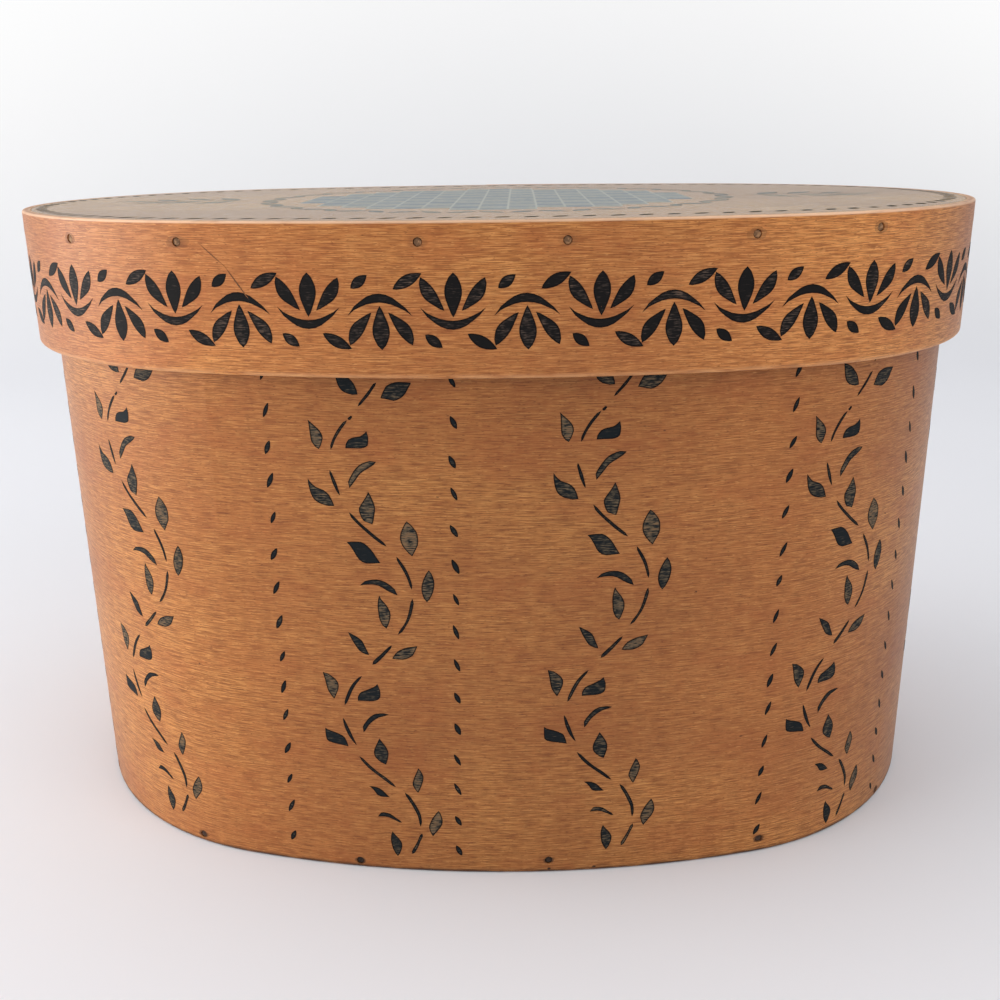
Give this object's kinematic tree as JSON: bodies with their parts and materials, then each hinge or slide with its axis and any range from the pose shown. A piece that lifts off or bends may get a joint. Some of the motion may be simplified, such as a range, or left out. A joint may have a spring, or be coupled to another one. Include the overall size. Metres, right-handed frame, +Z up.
{
  "type": "oval bentwood box",
  "caption": "Tall oval bentwood box with straight walls, a nailed flat bottom and a deep overlapping lid that lifts straight off.",
  "frame": {"origin": "middle of the flat underside, between the ends and between front and back of the oval", "axes": "+Z up out of the lid, +X along the long axis, the front at -Y, the lapped ends of the bands at +Y"},
  "size_m": [0.292, 0.2011, 0.1868],
  "materials": {
    "band_wood": "stained, satin",
    "bottom_wood": "planed, lightly stained",
    "lid_wood": "grey-green wash, satin",
    "brad_iron": "dulled",
    "tack_copper": "aged copper"
  },
  "bodies": {
    "box": {"box_band": "band_wood", "box_bottom": "bottom_wood", "bottom_brads": "brad_iron", "box_lap_tacks": "tack_copper"},
    "lid": {"lid_band": "band_wood", "lid_top": "lid_wood", "lid_brads": "brad_iron", "lid_lap_tacks": "tack_copper"}
  },
  "joints": [
    {"name": "lid_lift", "type": "slide", "parent": "box", "child": "lid", "axis": [0, 0, 1], "range_m": [0, 0.1]}
  ]
}
